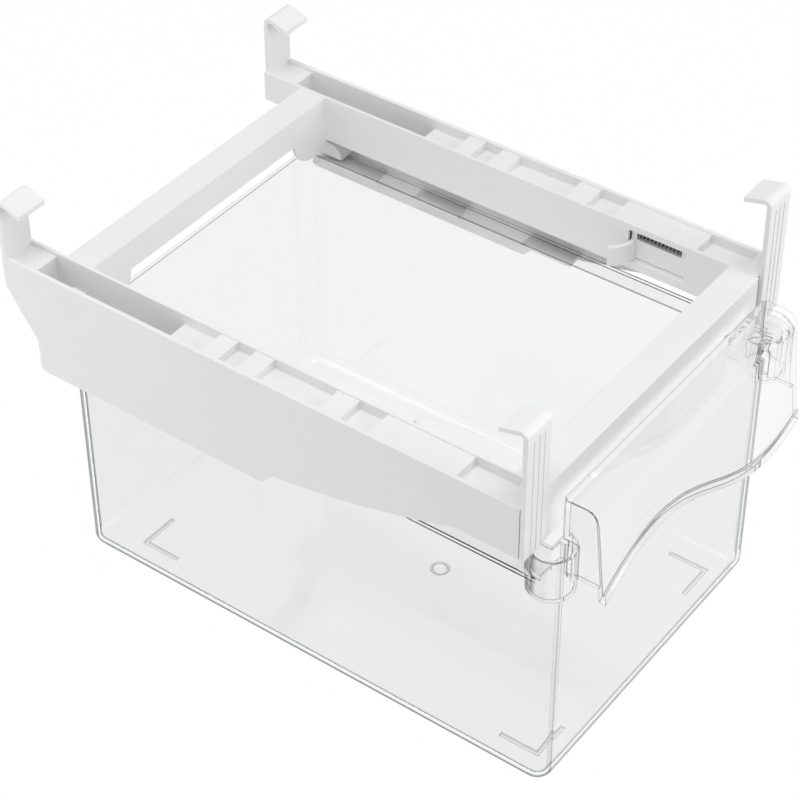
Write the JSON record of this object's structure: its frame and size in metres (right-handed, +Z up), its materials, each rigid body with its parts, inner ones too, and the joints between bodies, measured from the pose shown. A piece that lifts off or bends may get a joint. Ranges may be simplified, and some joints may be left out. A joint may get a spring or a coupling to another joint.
{
  "type": "fridge drawer organizer",
  "caption": "White frame that hooks over a fridge shelf, its front hooks sprung, with a clear bin that slides in the frame like a drawer.",
  "frame": {"origin": "middle of the overall box, at the plane the bin's four feet stand on", "axes": "+X to the right-hand rail, +Y to the rear hooks (the drawer pulls out along -Y), +Z up"},
  "size_m": [0.196, 0.2978, 0.207],
  "materials": {
    "frame_white": "moulded white ABS, satin",
    "hook_white": "moulded white POM, satin",
    "spring_steel": "drawn spring wire",
    "clear_plastic": "clear polystyrene, polished"
  },
  "bodies": {
    "frame": {"left_rail": "frame_white", "right_rail": "frame_white", "rear_crossbar": "frame_white", "front_crossbar": "frame_white", "left_spring": "spring_steel", "right_spring": "spring_steel"},
    "drawer": {"drawer_bin": "clear_plastic"},
    "left_hook": {"left_front_hook": "hook_white"},
    "right_hook": {"right_front_hook": "hook_white"}
  },
  "joints": [
    {"name": "drawer_slide", "type": "slide", "parent": "frame", "child": "drawer", "axis": [0, -1, 0], "range_m": [0, 0.13]},
    {"name": "left_hook_slide", "type": "slide", "parent": "frame", "child": "left_hook", "axis": [0, -1, 0], "range_m": [0, 0.012], "stiffness_N_per_m": 300, "springref_m": -0.004, "deforming": ["left_spring"]},
    {"name": "right_hook_slide", "type": "slide", "parent": "frame", "child": "right_hook", "axis": [0, -1, 0], "range_m": [0, 0.012], "stiffness_N_per_m": 300, "springref_m": -0.004, "deforming": ["right_spring"]}
  ]
}
